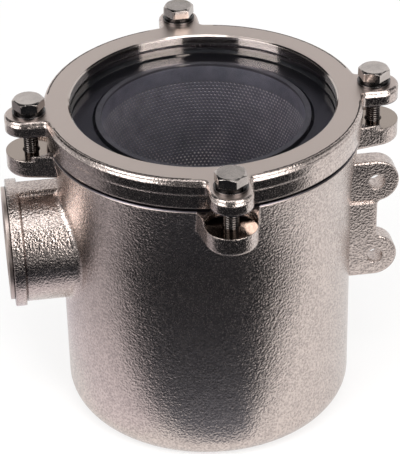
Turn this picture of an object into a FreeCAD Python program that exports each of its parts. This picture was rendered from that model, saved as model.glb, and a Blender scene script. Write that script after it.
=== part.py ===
"""Sea water strainer: cast body, clamped clear lid and lift-out basket.

Millimetres throughout. +Z is up, the origin is the centre of the base, the inlet
leaves along -X, the outlet along +Y and the wall bracket stands on the +X side.
Every driving size is a cell of the spreadsheet, and every feature is bound to it.
"""
import FreeCAD, Part
import math
import os
import Sketcher

doc = FreeCAD.newDocument("sea_water_strainer")
sheet = doc.addObject("Spreadsheet::Sheet", "Sizes")
sheet.Label = "Sizes"


# ---------------------------------------------------------------- driving sizes
class Size:
    """A length or angle that knows its number and the cell formula it came from."""

    def __init__(self, value, text):
        self.value = value
        self.text = text

    @staticmethod
    def of(other):
        """Wrap a plain number, so that it can be combined with a Size."""
        return other if isinstance(other, Size) else Size(other, repr(other))

    def __add__(self, other):
        other = Size.of(other)
        return Size(self.value + other.value, f"({self.text} + {other.text})")

    def __sub__(self, other):
        other = Size.of(other)
        return Size(self.value - other.value, f"({self.text} - {other.text})")

    def __mul__(self, other):
        other = Size.of(other)
        return Size(self.value * other.value, f"({self.text} * {other.text})")

    def __truediv__(self, other):
        other = Size.of(other)
        return Size(self.value / other.value, f"({self.text} / {other.text})")

    def sine(self):
        """Sine of an angle in degrees."""
        return Size(math.sin(math.radians(self.value)), f"sin({self.text})")

    def cosine(self):
        """Cosine of an angle in degrees."""
        return Size(math.cos(math.radians(self.value)), f"cos({self.text})")

    def __neg__(self):
        return Size(-self.value, f"(0 - {self.text})")

    def __radd__(self, other):
        return Size.of(other) + self

    def __rsub__(self, other):
        return Size.of(other) - self

    def __rmul__(self, other):
        return Size.of(other) * self


rows = 0


def size(alias, value):
    """Write one driving size into the spreadsheet and return it as a Size."""
    global rows
    rows += 1
    sheet.set(f"A{rows}", alias)
    sheet.set(f"B{rows}", str(value))
    sheet.setAlias(f"B{rows}", alias)
    return Size(value, f"Sizes.{alias}")


ZERO = Size(0.0, "0")

# heights of the body, from the base up
body_height = size("body_height", 183.6)
body_radius = size("body_radius", 89.2)
base_rounding = size("base_rounding", 13.0)
flare_height = size("flare_height", 50.0)
rim_radius = size("rim_radius", 94.3)
rim_chamfer = size("rim_chamfer", 0.8)
wall = size("wall", 6.7)
floor_thickness = size("floor_thickness", 8.0)
cavity_rounding = size("cavity_rounding", 9.0)

# the land that carries the seal and frames the basket
land_height = size("land_height", 3.9)
land_radius = size("land_radius", 86.8)
land_thickness = size("land_thickness", 9.5)
land_bore_radius = size("land_bore_radius", 66.4)
seal_cord = size("seal_cord", 5.0)
seal_radius = size("seal_radius", 81.5)
seal_side_gap = size("seal_side_gap", 0.25)

# lid ring, from its top down
ring_height = size("ring_height", 19.2)
ring_radius = size("ring_radius", 95.3)
ring_rounding = size("ring_rounding", 2.0)
ring_turned_height = size("ring_turned_height", 9.4)
ring_turned_step = size("ring_turned_step", 0.5)
ring_edge_chamfer = size("ring_edge_chamfer", 0.6)
lip_thickness = size("lip_thickness", 6.0)
lip_radius = size("lip_radius", 79.6)
lip_chamfer = size("lip_chamfer", 1.0)
ring_gap = size("ring_gap", 2.2)
spigot_gap = size("spigot_gap", 0.6)

# sight glass and its gasket
glass_thickness = size("glass_thickness", 9.0)
glass_side_gap = size("glass_side_gap", 0.5)
glass_chamfer = size("glass_chamfer", 0.6)
glass_gasket_thickness = size("glass_gasket_thickness", 0.8)
glass_gasket_inset = size("glass_gasket_inset", 0.6)
seat_gap = size("seat_gap", 0.3)

# bolts, washers and the lugs that they join
bolt_circle_radius = size("bolt_circle_radius", 103.8)
bolt_diameter = size("bolt_diameter", 10.0)
bolt_length = size("bolt_length", 40.0)
bolt_tip_chamfer = size("bolt_tip_chamfer", 1.0)
head_across_flats = size("head_across_flats", 17.0)
head_height = size("head_height", 6.4)
head_face_height = size("head_face_height", 0.4)
head_face_radius = size("head_face_radius", 8.0)
head_bevel = size("head_bevel", 2.4)
spring_washer_radius = size("spring_washer_radius", 9.0)
spring_washer_thickness = size("spring_washer_thickness", 2.0)
spring_washer_slit = size("spring_washer_slit", 1.2)
flat_washer_radius = size("flat_washer_radius", 10.0)
flat_washer_thickness = size("flat_washer_thickness", 1.5)
washer_bore_gap = size("washer_bore_gap", 0.3)
thread_gap = size("thread_gap", 0.12)
lid_hole_gap = size("lid_hole_gap", 0.5)
lid_lug_radius = size("lid_lug_radius", 12.4)
lid_lug_reach = size("lid_lug_reach", 2.4)
lid_lug_root_rounding = size("lid_lug_root_rounding", 3.0)
pad_radius = size("pad_radius", 15.2)
pad_drop = size("pad_drop", 3.2)
pad_thickness = size("pad_thickness", 12.0)
pad_flank_angle = size("pad_flank_angle", 12.0)
pad_rounding = size("pad_rounding", 2.5)
spot_face_radius = size("spot_face_radius", 15.3)

# pipe connections, with a two inch pipe thread
port_axis_height = size("port_axis_height", 115.4)
port_reach = size("port_reach", 121.0)
port_radius = size("port_radius", 36.6)
port_root_rounding = size("port_root_rounding", 4.0)
collar_radius = size("collar_radius", 39.2)
collar_width = size("collar_width", 6.6)
collar_rounding = size("collar_rounding", 0.8)
port_face_radius = size("port_face_radius", 34.6)
port_face_height = size("port_face_height", 2.6)
port_rib_width = size("port_rib_width", 12.4)
port_thread_radius = size("port_thread_radius", 28.3)
port_thread_length = size("port_thread_length", 24.0)
port_bore_radius = size("port_bore_radius", 26.5)
port_mouth_chamfer = size("port_mouth_chamfer", 1.6)
duct_wall = size("duct_wall", 4.5)

# wall bracket
bracket_thickness = size("bracket_thickness", 13.0)
bracket_hole_reach = size("bracket_hole_reach", 106.2)
bracket_hole_radius = size("bracket_hole_radius", 5.0)
bracket_lower_hole = size("bracket_lower_hole", 83.6)
bracket_hole_spacing = size("bracket_hole_spacing", 54.4)
bracket_ear_radius = size("bracket_ear_radius", 14.2)
bracket_neck_reach = size("bracket_neck_reach", 107.2)
bracket_rounding = size("bracket_rounding", 1.2)
bracket_neck_rounding = size("bracket_neck_rounding", 3.0)
tablet_height = size("tablet_height", 1.5)
tablet_inset = size("tablet_inset", 2.4)

# basket
basket_gap = size("basket_gap", 1.8)
basket_weld_gap = size("basket_weld_gap", 0.05)
basket_sheet = size("basket_sheet", 1.0)
basket_rim_width = size("basket_rim_width", 3.4)
basket_rim_height = size("basket_rim_height", 1.5)
basket_band_height = size("basket_band_height", 7.0)
basket_opening_radius = size("basket_opening_radius", 27.0)
basket_duct_gap = size("basket_duct_gap", 0.8)
locator_height = size("locator_height", 4.0)
locator_width = size("locator_width", 3.0)
locator_gap = size("locator_gap", 0.5)

doc.recompute()

# ---------------------------------------------------------------- worked out from them
land_top = body_height + land_height
ring_bottom = body_height + ring_gap
ring_top = ring_bottom + ring_height
lip_underside = ring_top - lip_thickness
counterbore_radius = land_radius + spigot_gap
glass_top = lip_underside - glass_gasket_thickness
glass_bottom = glass_top - glass_thickness
glass_radius = counterbore_radius - glass_side_gap
pad_top = body_height - pad_drop
pad_bottom = pad_top - pad_thickness
lid_lug_bottom = ring_bottom + ring_turned_height
flat_washer_top = ring_top + flat_washer_thickness
head_bottom = flat_washer_top + spring_washer_thickness
bolt_radius = bolt_diameter / 2
washer_bore_radius = bolt_radius + washer_bore_gap
cavity_radius = body_radius - wall
cavity_top = land_top - land_thickness
upper_hole = bracket_lower_hole + bracket_hole_spacing
basket_top = glass_bottom - seat_gap
basket_rim_radius = land_bore_radius - basket_gap
basket_radius = basket_rim_radius - basket_rim_width + basket_sheet
basket_inner_radius = basket_radius - basket_sheet
basket_band_radius = basket_radius + basket_weld_gap + basket_sheet
groove_bottom = basket_top - seal_cord
flare_start = body_height - flare_height
port_face = port_reach + port_face_height
duct_end_radius = basket_band_radius + basket_duct_gap


# ---------------------------------------------------------------- document helpers
def bind(thing, **properties):
    """Set each property of a document object and tie it to the spreadsheet."""
    for name, amount in properties.items():
        amount = Size.of(amount)
        setattr(thing, name, amount.value)
        thing.setExpression(name, amount.text)


def new_body(label):
    """Start an empty PartDesign body whose label names its file."""
    body = doc.addObject("PartDesign::Body", label)
    body.Label = label
    return body


def new_sketch(body, name, plane, offset=ZERO):
    """Attach a sketch to one of the body's own origin planes, moved along its normal."""
    sketch = body.newObject("Sketcher::SketchObject", name)
    for feature in body.Origin.OriginFeatures:
        if feature.Role == plane:
            sketch.AttachmentSupport = [(feature, "")]
    sketch.MapMode = "FlatFace"
    sketch.AttachmentOffset = FreeCAD.Placement(
        FreeCAD.Vector(0, 0, offset.value), FreeCAD.Rotation()
    )
    sketch.setExpression("AttachmentOffset.Base.z", offset.text)
    return sketch


def dimension(sketch, kind, arguments, amount):
    """Add one dimension to a sketch and tie it to the spreadsheet."""
    index = sketch.addConstraint(Sketcher.Constraint(kind, *arguments, amount.value))
    sketch.setExpression(f"Constraints[{index}]", amount.text)


def place_point(sketch, curve, end, across, up):
    """Fix one sketch point by its two distances from the sketch origin."""
    if across.value == 0:
        sketch.addConstraint(Sketcher.Constraint("PointOnObject", curve, end, -2))
    else:
        dimension(sketch, "DistanceX", (curve, end), across)
    if up.value == 0:
        sketch.addConstraint(Sketcher.Constraint("PointOnObject", curve, end, -1))
    else:
        dimension(sketch, "DistanceY", (curve, end), up)


def tangent_arc(start, end, heading):
    """Arc from start to end that leaves start along heading, as a sketch curve."""
    chord = end - start
    normal = FreeCAD.Vector(-heading.y, heading.x, 0)
    radius = chord.dot(chord) / (2 * chord.dot(normal))
    centre = start + normal * radius
    towards = (start + end) * 0.5 - centre
    if towards.Length < 1e-6:
        towards = heading
    middle = centre + towards.normalize() * abs(radius)
    return Part.Arc(start, middle, end)


def outline(sketch, corners):
    """Draw a closed outline. A corner marked arc is reached by an arc tangent to the last line."""
    points = [FreeCAD.Vector(corner[0].value, corner[1].value, 0) for corner in corners]
    count = len(corners)
    curves = []
    heading = None
    for index in range(count):
        after = (index + 1) % count
        start, end = points[index], points[after]
        if len(corners[after]) > 2:
            curves.append(sketch.addGeometry(tangent_arc(start, end, heading), False))
        else:
            curves.append(sketch.addGeometry(Part.LineSegment(start, end), False))
            heading = (end - start).normalize()
    for index in range(count):
        after = (index + 1) % count
        here, there = curves[index], curves[after]
        joint = points[after]
        here_end = min((1, 2), key=lambda end: sketch.getPoint(here, end).distanceToPoint(joint))
        there_end = min((1, 2), key=lambda end: sketch.getPoint(there, end).distanceToPoint(joint))
        next_is_arc = len(corners[(after + 1) % count]) > 2
        kind = "Tangent" if next_is_arc else "Coincident"
        sketch.addConstraint(Sketcher.Constraint(kind, here, here_end, there, there_end))
        place_point(sketch, here, here_end, corners[after][0], corners[after][1])


def circle(sketch, across, up, radius):
    """Draw one dimensioned circle."""
    centre = FreeCAD.Vector(across.value, up.value, 0)
    curve = sketch.addGeometry(Part.Circle(centre, FreeCAD.Vector(0, 0, 1), radius.value), False)
    place_point(sketch, curve, 3, across, up)
    dimension(sketch, "Radius", (curve,), radius)


def box_corners(left, low, right, high):
    """Corners of an upright rectangle."""
    return [(left, low), (right, low), (right, high), (left, high)]


def settle(body, feature):
    """Make a feature its body's newest one, and stop at once if it did not build."""
    body.Tip = feature
    doc.recompute()
    if "Invalid" in feature.State or feature.Shape.isNull() or not feature.Shape.isValid():
        raise RuntimeError(f"{body.Label}: {feature.Name} did not build: {feature.State}")
    return feature


def checked_volume(body, grows):
    """Say whether the newest feature changed the body's volume the way it should."""
    doc.recompute()
    features = [item for item in body.Group if item.isDerivedFrom("PartDesign::Feature")]
    if len(features) < 2:
        return True
    before, after = features[-2].Shape.Volume, features[-1].Shape.Volume
    return after > before if grows else after < before


def extrude(body, kind, name, plane, offset, length, draw, away=False):
    """Pad or pocket one sketch; away sends it against the sketch plane's normal."""
    sketch = new_sketch(body, name + "Sketch", plane, offset)
    draw(sketch)
    doc.recompute()
    feature = body.newObject(f"PartDesign::{kind}", name)
    feature.Profile = sketch
    bind(feature, Length=length)
    feature.Reversed = away
    return settle(body, feature)


def turn(body, kind, name, corners):
    """Revolve or groove a half section, drawn in the XZ plane, about the Z axis."""
    sketch = new_sketch(body, name + "Sketch", "XZ_Plane")
    outline(sketch, corners)
    doc.recompute()
    feature = body.newObject(f"PartDesign::{kind}", name)
    feature.Profile = sketch
    feature.ReferenceAxis = (sketch, ["V_Axis"])
    feature.Angle = 360
    body.Tip = feature
    if not checked_volume(body, kind == "Revolution"):
        feature.Reversed = True
    return settle(body, feature)


def four_times(draw_one, corners):
    """Draw one outline on each of the four sides, a quarter turn apart about Z."""
    def draw(sketch):
        turned = corners
        for _side in range(4):
            draw_one(sketch, turned)
            turned = [(-corner[1], corner[0], *corner[2:]) for corner in turned]
    return draw


def four_circles(across, up, radius):
    """Draw one circle on each of the four sides, a quarter turn apart about Z."""
    return four_times(lambda sketch, at: circle(sketch, at[0][0], at[0][1], radius),
                      [(across, up)])


def dress(body, kind, name, amount, wanted):
    """Round or chamfer the edges that the wanted test picks out of the current tip."""
    base = body.Tip
    edges = [f"Edge{number}" for number, edge in enumerate(base.Shape.Edges, 1) if wanted(edge)]
    feature = body.newObject(f"PartDesign::{kind}", name)
    feature.Base = (base, edges)
    if kind == "Fillet":
        bind(feature, Radius=amount)
    else:
        bind(feature, Size=amount)
    return settle(body, feature)


def is_circle(edge, radius, height):
    """True for a round edge about Z with this radius at this height."""
    if edge.Curve.TypeId != "Part::GeomCircle":
        return False
    middle = edge.valueAt((edge.FirstParameter + edge.LastParameter) / 2)
    level = abs(middle.z - height.value) < 0.01
    return level and abs(edge.Curve.Radius - radius.value) < 0.01


def is_round(edge, radius, centre):
    """True for a whole circle with this radius about this centre point."""
    if edge.Curve.TypeId != "Part::GeomCircle":
        return False
    near = edge.Curve.Center.distanceToPoint(FreeCAD.Vector(*centre)) < 0.01
    return near and abs(edge.Curve.Radius - radius.value) < 0.01


def middle_of(edge):
    """The point halfway along an edge."""
    return edge.valueAt((edge.FirstParameter + edge.LastParameter) / 2)


def lies_level(edge, height):
    """True for an edge that lies wholly at one height."""
    box = edge.BoundBox
    return abs(box.ZMin - height.value) < 0.01 and abs(box.ZMax - height.value) < 0.01


# ---------------------------------------------------------------- strainer body
def add_port(body, side, plane):
    """Add one pipe connection: barrel, flat-topped rib, collar and raised end face."""
    inner_end = cavity_radius * 0.8
    barrel_length = port_reach - inner_end
    extrude(body, "Pad", side + "Barrel", plane, -port_reach, barrel_length,
            lambda sketch: circle(sketch, ZERO, port_axis_height, port_radius))
    dress(body, "Fillet", side + "Root", port_root_rounding, is_port_root(side))
    rib_top = port_axis_height + collar_radius
    rib = box_corners(-port_rib_width / 2, port_axis_height, port_rib_width / 2, rib_top)
    extrude(body, "Pad", side + "Rib", plane, -(port_reach - collar_width),
            barrel_length - collar_width, lambda sketch: outline(sketch, rib))
    extrude(body, "Pad", side + "Collar", plane, -port_reach, collar_width,
            lambda sketch: circle(sketch, ZERO, port_axis_height, collar_radius))
    extrude(body, "Pad", side + "Face", plane, -port_face, port_face_height,
            lambda sketch: circle(sketch, ZERO, port_axis_height, port_face_radius))
    dress(body, "Fillet", side + "CollarRounding", collar_rounding,
          lambda edge: is_round(edge, collar_radius, port_point(side, port_reach)))


def port_point(side, reach):
    """The point on one port's axis at this distance from the bowl's axis."""
    if side == "Inlet":
        return (-reach.value, 0, port_axis_height.value)
    return (0, reach.value, port_axis_height.value)


def is_port_root(side):
    """Test for the curved edges where one port's barrel runs into the body wall."""
    def wanted(edge):
        middle = middle_of(edge)
        along, across = (-middle.x, middle.y) if side == "Inlet" else (middle.y, middle.x)
        distance = math.hypot(across, middle.z - port_axis_height.value)
        on_barrel = abs(distance - port_radius.value) < 0.1
        return on_barrel and cavity_radius.value * 0.82 < along < rim_radius.value
    return wanted


def bore_port(body, side, plane):
    """Cut the thread bore and the clear waterway of one pipe connection."""
    extrude(body, "Pocket", side + "Thread", plane, -port_face, port_thread_length,
            lambda sketch: circle(sketch, ZERO, port_axis_height, port_thread_radius), away=True)
    extrude(body, "Pocket", side + "Bore", plane, -port_face, port_face - basket_radius * 0.9,
            lambda sketch: circle(sketch, ZERO, port_axis_height, port_bore_radius), away=True)
    dress(body, "Chamfer", side + "Mouth", port_mouth_chamfer,
          lambda edge: is_round(edge, port_thread_radius, port_point(side, port_face)))


def add_bracket(body):
    """Add the two-eared wall bracket with the raised tablet between its ears."""
    behind = -(bracket_thickness / 2)
    inner_end = cavity_radius * 0.95
    neck = box_corners(inner_end, bracket_lower_hole, bracket_neck_reach, upper_hole)
    extrude(body, "Pad", "BracketNeck", "XZ_Plane", behind, bracket_thickness,
            lambda sketch: outline(sketch, neck))
    for name, height in (("Lower", bracket_lower_hole), ("Upper", upper_hole)):
        arm = box_corners(inner_end, height - bracket_ear_radius,
                          bracket_hole_reach, height + bracket_ear_radius)
        extrude(body, "Pad", name + "Arm", "XZ_Plane", behind, bracket_thickness,
                lambda sketch: outline(sketch, arm))
        extrude(body, "Pad", name + "Ear", "XZ_Plane", behind, bracket_thickness,
                lambda sketch: circle(sketch, bracket_hole_reach, height, bracket_ear_radius))
    dress(body, "Fillet", "BracketNeckRounding", bracket_neck_rounding, is_neck_corner)
    dress(body, "Fillet", "BracketRounding", bracket_rounding, is_bracket_rim)
    tablet = box_corners(inner_end, bracket_lower_hole + bracket_ear_radius,
                         bracket_neck_reach - tablet_inset, upper_hole - bracket_ear_radius)
    extrude(body, "Pad", "Tablet", "XZ_Plane", bracket_thickness / 2, tablet_height,
            lambda sketch: outline(sketch, tablet))
    for name, height in (("Lower", bracket_lower_hole), ("Upper", upper_hole)):
        extrude(body, "Pocket", name + "EarHole", "XZ_Plane", behind, bracket_thickness,
                lambda sketch: circle(sketch, bracket_hole_reach, height, bracket_hole_radius),
                away=True)


def is_neck_corner(edge):
    """True for the two inside corners where the bracket's ears meet its neck."""
    box = edge.BoundBox
    runs_across = abs(box.YLength - bracket_thickness.value) < 0.01 and box.XLength < 0.01
    at_neck = abs(box.XMax - bracket_neck_reach.value) < 0.01
    return runs_across and at_neck


def is_bracket_rim(edge):
    """True for the outline edges on the bracket's two flat faces."""
    box = edge.BoundBox
    on_face = box.YLength < 0.01 and abs(abs(box.YMin) - bracket_thickness.value / 2) < 0.01
    return on_face and middle_of(edge).x > body_radius.value + 1.0


def make_strainer_body():
    """Cast body: bowl with rim and land, bolt lugs, two ports, duct and wall bracket."""
    body = new_body("strainer_body")
    turn(body, "Revolution", "Bowl", [
        (ZERO, ZERO), (body_radius, ZERO), (body_radius, flare_start),
        (rim_radius, body_height, "arc"), (land_radius, body_height),
        (land_radius, land_top), (ZERO, land_top)])
    dress(body, "Fillet", "BaseRounding", base_rounding,
          lambda edge: is_circle(edge, body_radius, ZERO))
    dress(body, "Chamfer", "RimChamfer", rim_chamfer,
          lambda edge: is_circle(edge, rim_radius, body_height))
    add_port(body, "Inlet", "YZ_Plane")
    add_port(body, "Outlet", "XZ_Plane")
    add_bracket(body)
    add_body_lugs(body)
    cut_cavity(body)
    add_duct(body)
    bore_port(body, "Inlet", "YZ_Plane")
    bore_port(body, "Outlet", "XZ_Plane")
    return body


def add_body_lugs(body):
    """Add the four tapped lugs, spot-faced a little below the rim."""
    inner = -(cavity_radius * 0.95)
    centre = -bolt_circle_radius
    end = centre - pad_radius * pad_flank_angle.sine()
    half_end = pad_radius * pad_flank_angle.cosine()
    flare = (inner - end) * pad_flank_angle.sine() / pad_flank_angle.cosine()
    tongue = [(-(half_end + flare), inner), (-half_end, end), (half_end, end, "arc"),
              (half_end + flare, inner)]
    extrude(body, "Pad", "Lugs", "XY_Plane", pad_bottom, body_height - pad_bottom,
            four_times(outline, tongue))
    dress(body, "Fillet", "LugRounding", pad_rounding,
          lambda edge: lies_level(edge, pad_bottom)
          and math.hypot(middle_of(edge).x, middle_of(edge).y) > rim_radius.value)
    extrude(body, "Pocket", "SpotFaces", "XY_Plane", pad_top, pad_drop * 2,
            four_circles(ZERO, centre, spot_face_radius), away=True)
    extrude(body, "Pocket", "TappedHoles", "XY_Plane", pad_top, pad_thickness,
            four_circles(ZERO, centre, bolt_radius + thread_gap))


def cut_cavity(body):
    """Hollow the bowl, cut the seal groove and leave the ring that centres the basket."""
    turn(body, "Groove", "Cavity", [
        (ZERO, floor_thickness), (cavity_radius, floor_thickness), (cavity_radius, cavity_top),
        (land_bore_radius, cavity_top), (land_bore_radius, land_top), (ZERO, land_top)])
    dress(body, "Fillet", "CavityRounding", cavity_rounding,
          lambda edge: is_circle(edge, cavity_radius, floor_thickness))
    half_groove = seal_cord / 2 + seal_side_gap
    turn(body, "Groove", "SealGroove", box_corners(
        seal_radius - half_groove, groove_bottom, seal_radius + half_groove, land_top))
    locator_inner = basket_band_radius + locator_gap
    turn(body, "Revolution", "Locator", box_corners(
        locator_inner, floor_thickness / 2, locator_inner + locator_width,
        floor_thickness + locator_height))


def add_duct(body):
    """Carry the inlet through the bowl to the basket's side opening."""
    duct_radius = port_bore_radius + duct_wall
    start = cavity_radius + wall / 2
    extrude(body, "Pad", "Duct", "YZ_Plane", -start, start - basket_radius * 0.8,
            lambda sketch: circle(sketch, ZERO, port_axis_height, duct_radius))
    turn(body, "Groove", "DuctEnd", box_corners(
        ZERO, port_axis_height - duct_radius - wall, duct_end_radius,
        port_axis_height + duct_radius + wall))


# ---------------------------------------------------------------- lid
def make_lid_ring():
    """Cast clamping ring with four lugs, a turned lower band and a lip over the glass."""
    body = new_body("lid_ring")
    turned = ring_radius - ring_turned_step
    turn(body, "Revolution", "Ring", [
        (counterbore_radius, ring_bottom), (turned, ring_bottom), (turned, lid_lug_bottom),
        (ring_radius, lid_lug_bottom), (ring_radius, ring_top), (lip_radius, ring_top),
        (lip_radius, lip_underside), (counterbore_radius, lip_underside)])
    inner = -(counterbore_radius + spigot_gap * 2)
    centre = -bolt_circle_radius
    end = centre - lid_lug_reach
    tongue = [(-lid_lug_radius, inner), (-lid_lug_radius, end), (lid_lug_radius, end, "arc"),
              (lid_lug_radius, inner)]
    extrude(body, "Pad", "LidLugs", "XY_Plane", lid_lug_bottom, ring_top - lid_lug_bottom,
            four_times(outline, tongue))
    dress(body, "Fillet", "LidLugRoots", lid_lug_root_rounding, is_lid_lug_root)
    dress(body, "Fillet", "RingRounding", ring_rounding, is_ring_top_outline)
    dress(body, "Chamfer", "RingEdge", ring_edge_chamfer,
          lambda edge: is_circle(edge, turned, ring_bottom))
    dress(body, "Chamfer", "LipChamfer", lip_chamfer,
          lambda edge: is_circle(edge, lip_radius, ring_top))
    extrude(body, "Pocket", "BoltHoles", "XY_Plane", ring_top, ring_height,
            four_circles(ZERO, centre, bolt_radius + lid_hole_gap))
    return body


def is_lid_lug_root(edge):
    """True for the upright inside corners between a lid lug and the ring."""
    box = edge.BoundBox
    upright = box.XLength < 0.01 and box.YLength < 0.01
    reach = math.hypot(middle_of(edge).x, middle_of(edge).y)
    return upright and abs(reach - ring_radius.value) < 0.1


def is_ring_top_outline(edge):
    """True for the outer edges of the ring's top face, lugs included."""
    middle = middle_of(edge)
    return lies_level(edge, ring_top) and math.hypot(middle.x, middle.y) > lip_radius.value + 1


def make_lid_glass():
    """Clear disc of the lid."""
    body = new_body("lid_glass")
    turn(body, "Revolution", "Disc", box_corners(ZERO, glass_bottom, glass_radius, glass_top))
    dress(body, "Chamfer", "DiscEdges", glass_chamfer,
          lambda edge: is_circle(edge, glass_radius, glass_bottom)
          or is_circle(edge, glass_radius, glass_top))
    return body


def make_glass_gasket():
    """Flat rubber ring between the ring's lip and the clear disc."""
    body = new_body("glass_gasket")
    turn(body, "Revolution", "Gasket", box_corners(
        lip_radius + glass_gasket_inset, glass_top, glass_radius, lip_underside))
    return body


def make_body_seal():
    """Round rubber cord lying in the groove of the body's land."""
    ring = doc.addObject("Part::Torus", "body_seal")
    ring.Label = "body_seal"
    bind(ring, Radius1=seal_radius, Radius2=seal_cord / 2)
    ring.setExpression("Placement.Base.z", (groove_bottom + seal_cord / 2).text)
    return ring


# ---------------------------------------------------------------- bolts and washers
SIDES = {"front": -90.0, "right": 0.0, "back": 90.0, "left": 180.0}
HEAD_ANGLES = {"front": -114.0, "right": -112.0, "back": -87.0, "left": -91.0}


def stand_at(body, side, height, turned=0.0):
    """Place a piece drawn on the Z axis at one bolt of the bolt circle."""
    angle = math.radians(SIDES[side])
    body.Placement = FreeCAD.Placement(
        FreeCAD.Vector(0, 0, 0), FreeCAD.Rotation(FreeCAD.Vector(0, 0, 1), turned))
    body.setExpression("Placement.Base.x", (bolt_circle_radius * round(math.cos(angle))).text)
    body.setExpression("Placement.Base.y", (bolt_circle_radius * round(math.sin(angle))).text)
    body.setExpression("Placement.Base.z", height.text)


def make_bolt(side):
    """Hexagon-head bolt, drawn with the underside of its head at zero."""
    body = new_body(f"lid_bolt_{side}")
    flat = head_across_flats / 2
    half_side = flat / math.sqrt(3)
    corner = half_side * 2
    hexagon = [(flat, -half_side), (flat, half_side), (ZERO, corner), (-flat, half_side),
               (-flat, -half_side), (ZERO, -corner)]
    turn(body, "Revolution", "Shank", [
        (ZERO, -bolt_length), (bolt_radius - bolt_tip_chamfer, -bolt_length),
        (bolt_radius, bolt_tip_chamfer - bolt_length), (bolt_radius, ZERO),
        (head_face_radius, ZERO), (head_face_radius, head_face_height),
        (ZERO, head_face_height)])
    extrude(body, "Pad", "Head", "XY_Plane", head_face_height, head_height - head_face_height,
            lambda sketch: outline(sketch, hexagon))
    turn(body, "Groove", "HeadBevel", [
        (flat * 0.98, head_height), (corner * 1.1, head_height),
        (corner * 1.1, head_height - head_bevel)])
    stand_at(body, side, head_bottom, HEAD_ANGLES[side])
    return body


def make_spring_washer(side):
    """Split spring washer under a bolt head."""
    body = new_body(f"spring_washer_{side}")
    turn(body, "Revolution", "Ring", box_corners(
        washer_bore_radius, ZERO, spring_washer_radius, spring_washer_thickness))
    slit = box_corners(washer_bore_radius / 2, -spring_washer_slit / 2,
                       spring_washer_radius * 1.1, spring_washer_slit / 2)
    extrude(body, "Pocket", "Slit", "XY_Plane", ZERO, spring_washer_thickness,
            lambda sketch: outline(sketch, slit), away=True)
    stand_at(body, side, flat_washer_top, SIDES[side] + 35.0)
    return body


def make_flat_washer(side):
    """Plain washer on a lid lug."""
    body = new_body(f"flat_washer_{side}")
    turn(body, "Revolution", "Ring", box_corners(
        washer_bore_radius, ZERO, flat_washer_radius, flat_washer_thickness))
    stand_at(body, side, ring_top)
    return body


# ---------------------------------------------------------------- basket
def make_basket_wall():
    """Rolled sheet cylinder with the opening that faces the inlet."""
    body = new_body("basket_wall")
    turn(body, "Revolution", "Wall", box_corners(
        basket_inner_radius, floor_thickness, basket_radius, basket_top - basket_rim_height))
    extrude(body, "Pocket", "Opening", "YZ_Plane", -(basket_radius * 1.1), basket_radius * 0.5,
            lambda sketch: circle(sketch, ZERO, port_axis_height, basket_opening_radius),
            away=True)
    return body


def make_basket_floor():
    """Disc welded into the foot of the basket."""
    body = new_body("basket_floor")
    turn(body, "Revolution", "Floor", box_corners(
        ZERO, floor_thickness, basket_inner_radius - basket_weld_gap,
        floor_thickness + basket_sheet))
    return body


def make_basket_rim():
    """Top ring with a flange over the wall's edge and a skirt outside the wall."""
    body = new_body("basket_rim")
    flange_bottom = basket_top - basket_rim_height
    skirt_bottom = flange_bottom - basket_band_height
    skirt = basket_radius + basket_weld_gap
    turn(body, "Revolution", "Rim", [
        (skirt, skirt_bottom), (basket_band_radius, skirt_bottom),
        (basket_band_radius, flange_bottom), (basket_rim_radius, flange_bottom),
        (basket_rim_radius, basket_top), (basket_inner_radius, basket_top),
        (basket_inner_radius, flange_bottom), (skirt, flange_bottom)])
    return body


def make_basket_foot_band():
    """Reinforcing band round the foot of the basket."""
    body = new_body("basket_foot_band")
    turn(body, "Revolution", "Band", box_corners(
        basket_radius + basket_weld_gap, floor_thickness, basket_band_radius,
        floor_thickness + basket_band_height))
    return body


# ---------------------------------------------------------------- build, check and write
def make_pieces():
    """Make every separate physical piece of the strainer."""
    pieces = [
        make_strainer_body(), make_lid_ring(), make_lid_glass(), make_glass_gasket(),
        make_body_seal(), make_basket_wall(), make_basket_floor(), make_basket_rim(),
        make_basket_foot_band(),
    ]
    for side in SIDES:
        pieces += [make_bolt(side), make_spring_washer(side), make_flat_washer(side)]
    return pieces


pieces = make_pieces()
doc.recompute()
for item in doc.Objects:
    if "Invalid" in item.State or "Error" in item.State:
        raise RuntimeError(f"{item.Label} did not build: {item.State}")
os.makedirs("parts", exist_ok=True)
for piece in pieces:
    shape = piece.Shape
    if shape.isNull() or not shape.isValid() or not shape.Solids:
        raise RuntimeError(f"{piece.Label} has no valid solid")
    shape.exportStep(f"parts/{piece.Label}.step")
    print(f"{piece.Label}: {shape.Volume / 1000:.2f} cm3, solids {len(shape.Solids)}")
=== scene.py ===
"""Sea water strainer: metal finishes, threads, perforated basket, studio and camera.

Metres throughout, in the frame of the solids: +Z is up, the inlet leaves along -X,
the outlet along +Y, the bracket stands on the +X side and the front bolt on the -Y side.
"""
from __future__ import annotations

import logging
import math
from dataclasses import dataclass
from enum import Enum
from functools import cached_property, partial, reduce

import bmesh
import bpy
from mathutils import Matrix, Vector


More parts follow.
